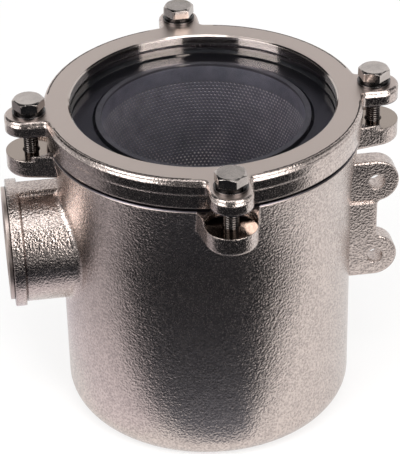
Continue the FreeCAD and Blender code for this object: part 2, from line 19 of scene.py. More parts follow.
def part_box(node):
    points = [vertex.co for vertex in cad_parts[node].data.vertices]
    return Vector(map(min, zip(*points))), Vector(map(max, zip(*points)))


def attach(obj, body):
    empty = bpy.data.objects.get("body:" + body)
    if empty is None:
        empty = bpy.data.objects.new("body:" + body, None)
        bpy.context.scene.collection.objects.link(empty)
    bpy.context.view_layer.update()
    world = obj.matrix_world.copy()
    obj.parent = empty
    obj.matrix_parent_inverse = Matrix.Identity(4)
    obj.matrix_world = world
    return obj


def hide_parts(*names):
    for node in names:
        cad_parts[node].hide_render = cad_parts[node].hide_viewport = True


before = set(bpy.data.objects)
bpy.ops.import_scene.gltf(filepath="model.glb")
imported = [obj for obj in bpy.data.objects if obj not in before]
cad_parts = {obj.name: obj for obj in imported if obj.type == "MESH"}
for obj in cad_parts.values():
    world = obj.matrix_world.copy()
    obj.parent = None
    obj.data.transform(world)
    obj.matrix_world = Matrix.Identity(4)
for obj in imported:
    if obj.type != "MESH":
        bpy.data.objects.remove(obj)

log = logging.getLogger("strainer")
MM = 0.001
ON_AXIS = 1e-7
NOISE_LOW, NOISE_HIGH = 0.3, 0.7
LOW, HIGH = -1000.0, 1000.0
BOLT_CIRCLE = 103.8 * MM
PORT_HEIGHT = 115.4 * MM
MIDDLE = Vector((0.0, 0.0, 0.12))
Span = tuple[float, float]
Colour = tuple[float, float, float, float]
Point = tuple[float, float, float]
Limits = Span | None
Thing = bpy.types.Object
Material = bpy.types.Material
Socket = bpy.types.NodeSocket
Feed = Socket | bpy.types.Node | float | int | bool | tuple | str
Feeds = dict[str | int, Feed]


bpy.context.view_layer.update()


class NodeGraph:
    """A shader or geometry node tree, with short calls for adding and joining nodes."""

    def __init__(self, tree: bpy.types.NodeTree) -> None:
        """Take over an empty tree."""
        self.tree = tree

    def feed(self, socket: Socket, value: Feed) -> None:
        """Feed one input.

        Args:
            socket: the input.
            value: a socket, a node whose first output is meant, or a plain value.
        """
        if isinstance(value, bpy.types.Node):
            value = value.outputs[0]
        if isinstance(value, Socket):
            self.tree.links.new(value, socket)
        else:
            socket.default_value = value

    def fill(self, node: bpy.types.Node, feeds: Feeds) -> None:
        """Feed several inputs of a node, by name or number."""
        for key, value in feeds.items():
            self.feed(node.inputs[key], value)

    def add(self, kind: str, feeds: Feeds | None = None,
            **settings: object) -> bpy.types.Node:
        """Add one node.

        Args:
            kind: the node's type name.
            feeds: values or sockets by input name or number.
            settings: the node's own properties.

        Returns:
            The new node.
        """
        node = self.tree.nodes.new(kind)
        for name, value in settings.items():
            setattr(node, name, value)
        self.fill(node, feeds or {})
        return node

    def surface(self, shader: Feed) -> None:
        """End a material's tree with a shader."""
        self.feed(self.tree.nodes["Material Output"].inputs["Surface"], shader)

    def math(self, operation: str, *values: Feed) -> Socket:
        """One arithmetic step on numbers."""
        feeds = dict(enumerate(values))
        return self.add("ShaderNodeMath", feeds, operation=operation).outputs[0]

    def chain(self, operation: str, values: tuple[Feed, ...]) -> Socket:
        """Work through several numbers with one operation."""
        return reduce(partial(self.math, operation), values)

    def plus(self, *values: Feed) -> Socket:
        """Add several numbers."""
        return self.chain("ADD", values)

    def minus(self, value: Feed, less: Feed) -> Socket:
        """Take one number from another."""
        return self.math("SUBTRACT", value, less)

    def product(self, *values: Feed) -> Socket:
        """Multiply several numbers."""
        return self.chain("MULTIPLY", values)

    def either(self, *masks: Feed) -> Socket:
        """1 where any of the masks is 1."""
        return self.chain("MAXIMUM", masks)

    def above(self, value: Feed, limit: Feed) -> Socket:
        """1 where the value is over a limit, else 0."""
        return self.math("GREATER_THAN", value, limit)

    def between(self, value: Feed, low: float, high: float) -> Socket:
        """1 where the value lies between two limits, else 0."""
        return self.product(self.above(value, low), self.math("LESS_THAN", value, high))

    def distance(self, across: Feed, up: Feed) -> Socket:
        """Length of a flat vector."""
        return self.math("SQRT", self.plus(self.product(across, across),
                                           self.product(up, up)))

    def ramp(self, value: Feed, low: float, high: float, start: float = 0.0,
             end: float = 1.0, curve: str = "LINEAR") -> Socket:
        """Carry a value from one range to another along a curve, held at the ends."""
        feeds = dict(enumerate((value, low, high, start, end)))
        return self.add("ShaderNodeMapRange", feeds, interpolation_type=curve).outputs[0]

    def vary(self, noise: Feed, middle: float, spread: Span,
             high: float = NOISE_HIGH) -> Socket:
        """Spread a value to both sides of its middle by smooth noise about 0.5."""
        return self.ramp(noise, NOISE_LOW, high, middle + spread[0], middle + spread[1])

    def blend(self, share: Feed, first: Feed, second: Feed) -> Socket:
        """Mix two colours."""
        node = self.add("ShaderNodeMix", {0: share, 6: first, 7: second}, data_type="RGBA")
        return node.outputs[2]

    def mean(self, share: Feed, first: Feed, second: Feed) -> Socket:
        """Mix two numbers."""
        return self.add("ShaderNodeMix", {0: share, 2: first, 3: second}).outputs[0]

    def noise(self, spot: Feed, size: float, detail: float = 2.0,
              rough: float = 0.5) -> Socket:
        """Smooth random value about 0.5 whose lumps are size metres wide."""
        return self.add("ShaderNodeTexNoise", {
            "Vector": spot, "Scale": 1.0 / size, "Detail": detail,
            "Roughness": rough}).outputs[0]

    def cells(self, spot: Feed, size: float) -> Socket:
        """Distance to the nearest of random points that lie size metres apart."""
        return self.add("ShaderNodeTexVoronoi", {"Vector": spot, "Scale": 1.0 / size},
                        feature="SMOOTH_F1").outputs[0]

    def bevel(self, radius: Feed) -> Socket:
        """Shading normal that rounds off the edges."""
        return self.add("ShaderNodeBevel", {"Radius": radius}, samples=4).outputs[0]

    def bump(self, height: Feed, depth: float, strength: float = 1.0,
             normal: Feed | None = None) -> Socket:
        """Turn a height field into a shading normal; depth is its height in metres."""
        start = {} if normal is None else {"Normal": normal}
        return self.add("ShaderNodeBump", {
            "Height": height, "Distance": depth, "Strength": strength, **start}).outputs[0]


@dataclass(frozen=True)
class Zone:
    """Some faces of a casting, by limits in millimetres on measures of the point."""

    z: Limits = None
    radius: Limits = None
    furthest: Limits = None
    from_bolt: Limits = None
    from_port: Limits = None
    port_reach: Limits = None


class Place:
    """The point on the object in metres, and how far it lies from the main features."""

    def __init__(self, graph: NodeGraph) -> None:
        """Read the point and split it."""
        self.graph = graph
        self.all = graph.add("ShaderNodeTexCoord").outputs["Object"]
        self.x, self.y, self.z = graph.add("ShaderNodeSeparateXYZ", {0: self.all}).outputs

    def level(self, operation: str) -> Socket:
        """The two level distances from the axis planes, put through one operation."""
        sizes = [self.graph.math("ABSOLUTE", side) for side in (self.x, self.y)]
        return self.graph.math(operation, *sizes)

    @cached_property
    def radius(self) -> Socket:
        """Distance from the object's axis."""
        return self.graph.distance(self.x, self.y)

    @cached_property
    def furthest(self) -> Socket:
        """The larger of the two level distances from the axis planes."""
        return self.level("MAXIMUM")

    @cached_property
    def nearest(self) -> Socket:
        """The smaller of the two level distances from the axis planes."""
        return self.level("MINIMUM")

    @cached_property
    def from_bolt(self) -> Socket:
        """Distance from the axis of the nearest lid bolt."""
        return self.graph.distance(self.graph.minus(self.furthest, BOLT_CIRCLE),
                                   self.nearest)

    @cached_property
    def from_port(self) -> Socket:
        """Distance from the nearer port's axis."""
        return self.graph.distance(self.nearest, self.graph.minus(self.z, PORT_HEIGHT))

    @cached_property
    def port_reach(self) -> Socket:
        """Distance out along the nearer port."""
        return self.graph.either(self.graph.product(self.x, -1.0), self.y)

    def within(self, *zones: Zone, **measures: Socket) -> Socket:
        """Mask zones of a casting.

        Args:
            zones: the zones.
            measures: what stands in for the point's own measures.

        Returns:
            1 in any of the zones, else 0.
        """
        return self.graph.either(*[self.graph.product(*[
            self.graph.between(measures.get(name) or getattr(self, name),
                               limits[0] * MM, limits[1] * MM)
            for name, limits in vars(zone).items() if limits]) for zone in zones])


def new_material(name: str) -> tuple[Material, NodeGraph, bpy.types.Node]:
    """Start a material.

    Args:
        name: the material's name.

    Returns:
        The material, its graph and its main shader.
    """
    material = bpy.data.materials.new(name)
    material.use_nodes = True
    shader = material.node_tree.nodes["Principled BSDF"]
    return material, NodeGraph(material.node_tree), shader


def shade(tone: Colour, share: float) -> Colour:
    """The same tone, darker or paler."""
    return tuple(part * share for part in tone[:3]) + (1.0,)


# ---------------- finishes
class CastPart(Enum):
    """The two castings, each with its own machined faces."""

    BOWL = "bowl"
    RING = "ring"


@dataclass(frozen=True)
class Faces:
    """Zones of the castings that were cut after plating, or that lie in the dark."""

    bolt_seats: Zone = Zone(from_bolt=(LOW, 15.2), z=(180.2, 183.7))
    port_bore: Zone = Zone(from_port=(LOW, 30.4), port_reach=(60.0, HIGH))
    port_duct: Zone = Zone(from_port=(LOW, 30.4), port_reach=(60.0, 98.5))
    port_face: Zone = Zone(port_reach=(121.1, HIGH))
    port_step: Zone = Zone(from_port=(30.4, 35.4), port_reach=(114.4, 121.6))
    collar_root: Zone = Zone(from_port=(30.4, 37.3), port_reach=(113.15, 114.62))
    bowl_rim: Zone = Zone(radius=(LOW, 94.6), z=(182.75, HIGH))
    bowl_seat: Zone = Zone(radius=(82.9, 93.95), z=(182.75, HIGH))
    bowl_inside: Zone = Zone(radius=(LOW, 82.9), z=(4.0, HIGH))
    bowl_land: Zone = Zone(z=(187.0, HIGH))
    ring_top: Zone = Zone(z=(204.9, HIGH))
    ring_bore: Zone = Zone(radius=(LOW, 81.0))
    ring_lip: Zone = Zone(radius=(LOW, 81.0), z=(LOW, 204.9))
    ring_edge: Zone = Zone(radius=(92.88, 93.72), from_bolt=(24.0, HIGH), z=(204.68, HIGH))
    ring_flank: Zone = Zone(radius=(93.3, HIGH))
    ring_under: Zone = Zone(z=(LOW, 186.0))
    lug_under: Zone = Zone(furthest=(95.6, HIGH), z=(LOW, 195.6))


@dataclass(frozen=True)
class CastTree:
    """What the parts of a casting's node tree share: the point, masks, wander and heights."""

    at: Place
    cut: Socket
    fine: Socket
    dark: Socket
    wander: Socket
    height: Socket
    milled: Socket


@dataclass(frozen=True)
class CastNickel:
    """Nickel-plated sand casting: grained skin with finer machined faces."""

    part: CastPart
    faces: Faces = Faces()
    tone: Colour = (0.620, 0.535, 0.495, 1.0)
    # Low grain and cut-face specks: partly tarnish in the pits, partly painted shade in the
    # hollows.
    pit_tone: Colour = (0.400, 0.345, 0.325, 1.0)
    cut_tone: Colour = (0.525, 0.447, 0.412, 1.0)
    lip_tone: Colour = (0.500, 0.440, 0.410, 1.0)
    # Painted shade: the bolt seats in the pockets under the lid lugs are darker than the
    # other cut faces.
    seat_tone: Colour = (0.340, 0.285, 0.250, 1.0)
    # Painted shade inside the bowl, in the port ducts, on the seat under the ring, and under
    # the ring and its lugs.
    wet_tone: Colour = (0.135, 0.122, 0.140, 1.0)
    # Painted shade: the land under the clear lid is darker still.
    land_tone: Colour = (0.075, 0.068, 0.080, 1.0)
    # Dark lines: the burr line round the ring's top, and painted shadow in the step of the
    # port's face.
    line_tone: Colour = (0.045, 0.036, 0.034, 1.0)
    # Painted shade in the crease at the collar's root.
    root_tone: Colour = (0.170, 0.132, 0.118, 1.0)
    grain: float = 1.30 * MM
    fine_grain: float = 0.60 * MM
    cut_grain: float = 0.60 * MM
    swell: float = 11.0 * MM
    lump_share: float = 0.75
    pit_share: float = 0.60
    sand_share: float = 0.22
    swell_share: float = 0.20
    bowl_depth: float = 0.34 * MM
    ring_depth: float = 0.153 * MM
    cut_depth: float = 0.022 * MM
    cast_edge: float = 1.6 * MM
    cut_edge: float = 0.35 * MM
    edge_wander: float = 0.22 * MM
    top_round: tuple[float, ...] = (200.6 * MM, 203.4 * MM, 0.0, -1.00 * MM)
    band_step: tuple[float, ...] = (194.7 * MM, 195.3 * MM, 0.0, -0.30 * MM)
    proud: tuple[float, ...] = (0.66, 0.98)
    speck: tuple[float, ...] = (0.25, 0.60, 0.88, 1.0)
    skin_roughness: float = 0.19
    skin_spread: Span = (-0.05, 0.10)
    cut_roughness: float = 0.36
    cut_spread: Span = (-0.05, 0.08)
    fine_roughness: float = 0.11
    dark_roughness: float = 0.38

    def masks(self, at: Place) -> tuple[Socket, Socket, Socket]:
        """Mask the cut faces, the finely turned faces and the faces that get painted shade.

        Args:
            at: the point.

        Returns:
            The three masks.
        """
        faces = self.faces
        if self.part is CastPart.RING:
            return (at.within(faces.ring_top, faces.ring_bore), at.within(faces.ring_lip),
                    at.within(faces.ring_under, faces.lug_under))
        return (at.within(faces.bolt_seats, faces.port_bore, faces.bowl_rim, faces.port_face),
                at.within(faces.bolt_seats),
                at.within(faces.bowl_inside, faces.port_duct, faces.bowl_seat))

    def relief(self, tree: CastTree) -> Socket:
        """Round the edges, then grain the skin and the dull cut faces.

        Args:
            tree: what the tree's parts share.

        Returns:
            The shading normal.
        """
        at, graph, depth = tree.at, tree.at.graph, self.bowl_depth
        normal = graph.add("ShaderNodeMix", {
            0: tree.cut, 4: graph.bevel(self.cast_edge), 5: graph.bevel(self.cut_edge)},
            data_type="VECTOR").outputs[1]
        if self.part is CastPart.RING:
            lost = graph.plus(*[graph.ramp(at.z, *step, curve="SMOOTHSTEP")
                                for step in (self.top_round, self.band_step)])
            lost = graph.product(lost, at.within(self.faces.ring_flank))
            normal, depth = graph.bump(lost, depth=1.0, normal=normal), self.ring_depth
        skin = graph.product(tree.height, graph.minus(1.0, tree.cut))
        dull = graph.product(tree.milled, tree.cut, graph.minus(1.0, tree.fine))
        cast = graph.bump(skin, depth, normal=normal)
        return graph.bump(dull, self.cut_depth, strength=0.8, normal=cast)

    def colour(self, tree: CastTree) -> Socket:
        """Tone the skin and the cut faces, draw the dark lines, and paint shade inside and
        underneath.

        Args:
            tree: what the tree's parts share.

        Returns:
            The colour.
        """
        at, graph, faces = tree.at, tree.at.graph, self.faces
        ring = self.part is CastPart.RING
        # Painted shade: the low parts of the grain darken towards the pit tone, partly as
        # tarnish.
        skin = graph.blend(graph.ramp(tree.height, *self.proud), self.pit_tone, self.tone)
        cut = graph.blend(graph.ramp(tree.milled, *self.speck), self.pit_tone, self.cut_tone)
        tone = graph.blend(tree.cut, skin, cut)
        # The bolt seats take painted shade; the ring's lip takes its own finer tone.
        tone = graph.blend(tree.fine, tone, self.lip_tone if ring else self.seat_tone)
        # Painted shade on the faces that lie inside or underneath.
        tone = graph.blend(tree.dark, tone, self.wet_tone)
        if ring:
            edge = at.within(faces.ring_edge, radius=graph.plus(at.radius, tree.wander))
            return graph.blend(edge, tone, self.line_tone)
        # Painted shade in the crease at the collar's root.
        root = at.within(faces.collar_root, port_reach=graph.plus(at.port_reach, tree.wander))
        for mask, other in (
                # Painted shade on the land under the lid.
                (graph.product(tree.dark, at.within(faces.bowl_land)), self.land_tone),
                # Painted shade at the collar's root, and a painted shadow line in the port's
                # step.
                (root, self.root_tone), (at.within(faces.port_step), self.line_tone)):
            tone = graph.blend(mask, tone, other)
        return tone

    def build(self) -> Material:
        """Make the finish.

        Returns:
            The material.
        """
        material, graph, shader = new_material(f"cast_nickel_{self.part.value}")
        at = Place(graph)
        lumps = graph.noise(at.all, self.grain, rough=0.6)
        sand = graph.noise(at.all, self.fine_grain, detail=1.0)
        height = graph.plus(graph.product(lumps, self.lump_share),
                            graph.product(graph.cells(at.all, self.grain), self.pit_share),
                            graph.product(sand, self.sand_share),
                            graph.product(graph.noise(at.all, self.swell), self.swell_share))
        wander = graph.vary(lumps, 0.0, (-self.edge_wander, self.edge_wander))
        tree = CastTree(at, *self.masks(at), wander, height,
                        graph.noise(at.all, self.cut_grain, detail=3.0, rough=0.7))
        rough = graph.mean(tree.cut,
                           graph.vary(sand, self.skin_roughness, self.skin_spread),
                           graph.vary(tree.milled, self.cut_roughness, self.cut_spread))
        rough = graph.mean(tree.fine, rough, self.fine_roughness)
        graph.fill(shader, {
            "Base Color": self.colour(tree), "Metallic": 1.0, "Normal": self.relief(tree),
            "Roughness": graph.mean(tree.dark, rough, self.dark_roughness)})
        return material


@dataclass(frozen=True)
class BrightSteel:
    """Stainless steel as fasteners and sheet work have it: bright, with faint marks."""

    name: str
    tone: Colour = (0.50, 0.452, 0.425, 1.0)
    cloud_share: float = 0.78
    roughness: float = 0.15
    spread: Span = (-0.04, 0.10)
    mark: float = 0.9 * MM
    cloud: float = 8.1 * MM
    mark_depth: float = 0.012 * MM
    edge_radius: float = 0.25 * MM
    # Painted shade in the roots of a bolt's thread.
    root_tone: Colour | None = None
    root_radius: float = 4.30 * MM
    crest_radius: float = 4.72 * MM
    thread_edge: float = 0.06 * MM
    under_head: float = 207.5 * MM

    def build(self) -> Material:
        """Make the finish, with painted shade in the roots of a bolt's thread where it has a
        root shade tone.

        Returns:
            The material.
        """
        material, graph, shader = new_material(self.name)
        at = Place(graph)
        scuffs = graph.noise(at.all, self.mark, detail=3.0, rough=0.6)
        clouds = graph.ramp(graph.noise(at.all, self.cloud), low=0.35, high=0.75)
        tone = graph.blend(clouds, self.tone, shade(self.tone, self.cloud_share))
        edge: Feed = self.edge_radius
        if self.root_tone:
            head = graph.above(at.z, self.under_head)
            crest = graph.ramp(at.from_bolt, self.root_radius, self.crest_radius)
            tone = graph.blend(graph.either(crest, head), self.root_tone, tone)
            edge = graph.mean(head, self.thread_edge, self.edge_radius)
        graph.fill(shader, {
            "Base Color": tone, "Metallic": 1.0,
            "Roughness": graph.vary(scuffs, self.roughness, self.spread, high=0.75),
            "Normal": graph.bump(scuffs, self.mark_depth, strength=0.5,
                                 normal=graph.bevel(edge))})
        return material


@dataclass(frozen=True)
class ClearSheet:
    """Clear, faintly grey plastic of the lid's disc, which lets light straight through."""

    tone: Colour = (0.80, 0.81, 0.84, 1.0)
    index: float = 1.49
    haze_size: float = 30.0 * MM
    spread: Span = (0.0, 0.015)

    def build(self) -> Material:
        """Make the finish.

        Returns:
            The material.
        """
        material, graph, shader = new_material("clear_sheet")
        haze = graph.noise(Place(graph).all, self.haze_size)
        graph.fill(shader, {"Base Color": self.tone, "IOR": self.index,
                            "Transmission Weight": 1.0,
                            "Roughness": graph.vary(haze, 0.0, self.spread)})
        through = graph.add("ShaderNodeBsdfTransparent", {"Color": self.tone})
        rays = graph.add("ShaderNodeLightPath").outputs["Is Shadow Ray"]
        graph.surface(graph.add("ShaderNodeMixShader", {0: rays, 1: shader, 2: through}))
        return material


@dataclass(frozen=True)
class BlackRubber:
    """Matt black rubber with a fine moulded skin and a pale bloom."""

    tone: Colour = (0.009, 0.009, 0.010, 1.0)
    bloom_share: float = 2.2
    roughness: float = 0.55
    spread: Span = (-0.08, 0.10)
    sheen: float = 0.20
    skin: float = 0.35 * MM
    skin_depth: float = 0.02 * MM
    bloom: float = 14.0 * MM

    def build(self) -> Material:
        """Make the finish.

        Returns:
            The material.
        """
        material, graph, shader = new_material("black_rubber")
        spot = Place(graph).all
        skin = graph.noise(spot, self.skin)
        bloom = graph.ramp(graph.noise(spot, self.bloom), low=0.45, high=0.75)
        graph.fill(shader, {
            "Base Color": graph.blend(bloom, self.tone, shade(self.tone, self.bloom_share)),
            "Specular IOR Level": self.sheen,
            "Roughness": graph.vary(skin, self.roughness, self.spread),
            "Normal": graph.bump(skin, self.skin_depth, strength=0.5)})
        return material


# ---------------- meshes
def stand(name: str, data: bpy.types.ID | bmesh.types.BMesh) -> Thing:
    """Put a mesh, a lamp or a camera in the scene.

    Args:
        name: the new object's name.
        data: what it shows; an edited mesh is used up.

    Returns:
        The object, at the origin.
    """
    if isinstance(data, bmesh.types.BMesh):
        shape, data = data, bpy.data.meshes.new(name)
        shape.to_mesh(data)
        shape.free()
    made = bpy.data.objects.new(name, data)
    bpy.context.scene.collection.objects.link(made)
    return made


def circle(steps: int) -> list[float]:
    """Angles of equal steps round a circle."""
    return [2 * math.pi * step / steps for step in range(steps)]


def skin(name: str, rings: list[list[Point]], lids: bool = False) -> Thing:
    """Stretch faces from ring to ring.

    Args:
        name: the new object's name.
        rings: the points of each ring, in order; a single point closes to a tip.
        lids: whether the first and last ring get lids, or else join each other.

    Returns:
        A closed mesh object.
    """
    shape = bmesh.new()
    steps = max(len(ring) for ring in rings)
    loops = [[shape.verts.new(point) for point in ring] for ring in rings]
    loops = [loop * (steps // len(loop)) for loop in loops]
    for loop, upper in zip(loops, loops[1:] if lids else loops[1:] + loops[:1]):
        for step in range(steps):
            after = (step + 1) % steps
            face = dict.fromkeys((loop[step], loop[after], upper[after], upper[step]))
            if len(face) > 2:
                shape.faces.new(list(face))
    if lids:
        shape.faces.new(loops[-1])
        shape.faces.new(loops[0][::-1])
    bmesh.ops.recalc_face_normals(shape, faces=shape.faces[:])
    return stand(name, shape)


def lathe(name: str, outline: list[Span], steps: int) -> Thing:
    """Turn a closed half section about Z.

    Args:
        name: the new object's name.
        outline: radius and height of each corner, in order round the section.
        steps: faces round the axis.

    Returns:
        A closed mesh object.
    """
    return skin(name, [
        [(0.0, 0.0, height)] if radius < ON_AXIS else
        [(radius * math.cos(turn), radius * math.sin(turn), height) for turn in circle(steps)]
        for radius, height in outline])


def join(name: str, things: list[Thing]) -> Thing:
    """Join several mesh objects at the origin into one.

    Args:
        name: the joined object's name.
        things: the objects, which are used up.

    Returns:
        The joined object.
    """
    shape = bmesh.new()
    for thing in things:
        shape.from_mesh(thing.data)
        bpy.data.objects.remove(thing)
    return stand(name, shape)


def dress(thing: Thing, material: Material) -> None:
    """Give an object one finish.

    Args:
        thing: the object.
        material: its finish.
    """
    thing.data.materials.clear()
    thing.data.materials.append(material)


# ---------------- geometry nodes
class Recipe:
    """A geometry node tree with named inputs that makes one repeated shape."""

    def __init__(self, name: str, sizes: dict[str, float | int]) -> None:
        """Start the tree.

        Args:
            name: the tree's name.
            sizes: the value of each named input.
        """
        self.tree = bpy.data.node_groups.new(name, "GeometryNodeTree")
        face = self.tree.interface
        face.new_socket(name="Mesh", in_out="OUTPUT", socket_type="NodeSocketGeometry")
        self.values: dict[str, float | int] = {}
        for key, value in sizes.items():
            kind = "NodeSocketInt" if isinstance(value, int) else "NodeSocketFloat"
            socket = face.new_socket(name=key, in_out="INPUT", socket_type=kind)
            self.values[socket.identifier] = value
        self.graph = NodeGraph(self.tree)
        self.given = self.graph.add("NodeGroupInput")

    def size(self, name: str) -> Socket:
        """One of the named inputs."""
        return self.given.outputs[name]

    def bake(self, name: str, mesh: Feed, finishes: list[tuple[Material, Feed]]) -> Thing:
        """End the tree with real meshes, run it once and keep the result as a plain mesh.

        Args:
            name: the new object's name.
            mesh: what the tree made.
            finishes: each finish with the faces that take it, in order.

        Returns:
            The object, at the origin.
        """
        done = self.graph.add("GeometryNodeRealizeInstances", {0: mesh})
        for material, faces in finishes:
            done = self.graph.add("GeometryNodeSetMaterial", {
                "Geometry": done, "Selection": faces, "Material": material})
        self.graph.add("NodeGroupOutput", {0: done})
        host = stand(f"{name}_host", bpy.data.meshes.new(f"{name}_host"))
        modifier = host.modifiers.new("recipe", "NODES")
        modifier.node_group = self.tree
        for identifier, value in self.values.items():
            modifier[identifier] = value
        bpy.context.view_layer.update()
        seen = host.evaluated_get(bpy.context.evaluated_depsgraph_get())
        plain = bpy.data.meshes.new_from_object(seen)
        host.modifiers.remove(modifier)
        bpy.data.objects.remove(host)
        plain.name = name
        return stand(name, plain)


@dataclass
class ScrewThread:
    """A triangular ridge wound as a helix about Z, from low to high."""

    root_radius: float
    crest_radius: float
    pitch: float
    low: float
    high: float
    crest_share: float = 0.30
    sunk_share: float = 0.25
    steps: int = 40

    def build(self, name: str, material: Material) -> Thing:
        """Wind the ridge with a spiral curve and a swept profile.

        Args:
            name: the ridge's name.
            material: its finish.

        Returns:
            The ridge.
        """
        made = Recipe(name, {
            "Pitch": self.pitch, "Turns": (self.high - self.low) / self.pitch,
            "Root radius": self.root_radius, "Crest radius": self.crest_radius,
            "Start height": self.low})
        graph, pitch, root = made.graph, made.size("Pitch"), made.size("Root radius")
        spiral = graph.add("GeometryNodeCurveSpiral", {
            "Resolution": self.steps, "Rotations": made.size("Turns"),
            "Start Radius": root, "End Radius": root,
            "Height": graph.product(pitch, made.size("Turns"))})
        upright = graph.add("GeometryNodeSetCurveNormal", {0: spiral})
        upright.mode = "Z_UP"
        reach = graph.minus(made.size("Crest radius"), root)
        sunk = graph.product(reach, -self.sunk_share)
        half, tip = (graph.product(pitch, share) for share in (0.5, self.crest_share * 0.5))
        profile = graph.add("GeometryNodeCurvePrimitiveQuadrilateral", mode="POINTS")
        for number, (depth, side) in enumerate((
                (sunk, half), (sunk, graph.product(half, -1.0)),
                (reach, graph.product(tip, -1.0)), (reach, tip))):
            corner = graph.add("ShaderNodeCombineXYZ", {0: depth, 1: side})
            graph.feed(profile.inputs[f"Point {number + 1}"], corner)
        ridge = graph.add("GeometryNodeCurveToMesh", {
            "Curve": upright, "Profile Curve": profile, "Fill Caps": True})
        lift = graph.add("ShaderNodeCombineXYZ", {2: made.size("Start height")})
        moved = graph.add("GeometryNodeSetPosition", {"Geometry": ridge, "Offset": lift})
        return made.bake(name, moved, [(material, True)])


# ---------------- sub-assemblies
class Side(Enum):
    """The four bolts, named as the bodies and nodes name them."""

    FRONT = "front"
    RIGHT = "right"
    BACK = "back"
    LEFT = "left"


@dataclass
class LidBolt:
    """One hexagon bolt of the lid, with its real thread, standing where the solid stands."""

    side: Side
    across_flats: float = 17.0 * MM
    head_height: float = 6.4 * MM
    head_levels: int = 9
    head_steps: int = 72
    crown_drop: float = 1.15 * MM
    crown_share: float = 0.93
    corner_share: float = 0.3
    face_radius: float = 8.0 * MM
    face_height: float = 0.4 * MM
    shank_radius: float = 5.0 * MM
    shank_steps: int = 48
    root_radius: float = 4.2 * MM
    pitch: float = 1.5 * MM
    length: float = 40.0 * MM
    plain_length: float = 6.0 * MM
    tip: float = 1.0 * MM
    runout: float = 0.8 * MM
    thread_gap: float = 0.6 * MM

    def centre(self) -> Vector:
        """Middle of the head's underside, from the solid's own box."""
        low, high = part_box(f"lid_bolt_{self.side.value}")
        return Vector(((low.x + high.x) / 2, (low.y + high.y) / 2,
                       high.z - self.head_height))

    def head_turn(self) -> float:
        """Find the angle of one of the head's corners from the solid's furthest points.

        Returns:
            The angle, in radians.
        """
        middle = self.centre()
        level = middle.z + self.head_height * self.corner_share
        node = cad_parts[f"lid_bolt_{self.side.value}"]
        rim = [corner.co - middle for corner in node.data.vertices if corner.co.z > level]
        far = max(rim, key=lambda point: point.x * point.x + point.y * point.y)
        return math.atan2(far.y, far.x)

    def head(self) -> Thing:
        """Forge the hexagon with its rounded chamfer and washer face.

        Returns:
            The head, standing on the origin.
        """
        half = self.across_flats / 2
        corner = self.across_flats / math.sqrt(3.0)
        start = self.head_turn()
        rings = []
        for level in range(self.head_levels + 1):
            share = level / self.head_levels
            cone = corner - (corner - half * self.crown_share) * share
            height = self.head_height - self.crown_drop * (1 - share)
            ring = []
            for turn in circle(self.head_steps):
                from_corner = abs((turn + math.pi / 6) % (math.pi / 3) - math.pi / 6)
                flat = half / math.cos(math.pi / 6 - from_corner)
                reach = min(flat, cone) if level else flat
                ring.append((reach * math.cos(start + turn), reach * math.sin(start + turn),
                             height if level else self.face_height))
            rings.append(ring)
        return skin(f"bolt_head_{self.side.value}", rings, lids=True)

    def build(self, steel: Material) -> None:
        """Make the whole bolt and let it stand for its solid.

        Args:
            steel: the bolt's finish.
        """
        side = self.side.value
        core = lathe(f"bolt_core_{side}", [
            (0.0, -self.length), (self.root_radius - self.tip, -self.length),
            (self.root_radius, -self.length + self.tip),
            (self.root_radius, -self.plain_length),
            (self.shank_radius, -self.plain_length + self.runout), (self.shank_radius, 0.0),
            (self.face_radius, 0.0), (self.face_radius, self.face_height),
            (0.0, self.face_height)], self.shank_steps)
        ridge = ScrewThread(
            self.root_radius, self.shank_radius, self.pitch,
            -self.length + self.thread_gap, -self.plain_length - self.thread_gap,
        ).build(f"bolt_thread_{side}", steel)
        bolt = join(f"hexagon_bolt_{side}", [core, ridge, self.head()])
        bolt.data.transform(Matrix.Translation(self.centre()))
        dress(bolt, steel)
        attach(bolt, f"bolt_{side}")
        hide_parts(f"lid_bolt_{side}")
        log.info("bolt %s: %d faces", side, len(bolt.data.polygons))


@dataclass
class PipeThread:
    """The cut thread inside one pipe connection, about an axis square to Z."""

    name: str
    turned_about: str
    mouth: float = 121.6 * MM
    depth: float = 22.0 * MM
    root_radius: float = 28.3 * MM
    crest_radius: float = 27.1 * MM
    pitch: float = 2.309 * MM
    steps: int = 96

    def build(self, metal: Material) -> None:
        """Wind the thread about Z, lay it along the port and let it ride on the bowl.

        Args:
            metal: the thread's finish.
        """
        ridge = ScrewThread(
            self.root_radius, self.crest_radius, self.pitch, self.mouth - self.depth,
            self.mouth - self.pitch, steps=self.steps).build(self.name, metal)
        turned = Matrix.Rotation(math.radians(-90.0), 4, self.turned_about)
        ridge.data.transform(Matrix.Translation((0.0, 0.0, PORT_HEIGHT)) @ turned)
        dress(ridge, metal)
        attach(ridge, "bowl")
        log.info("%s: %d faces", self.name, len(ridge.data.polygons))


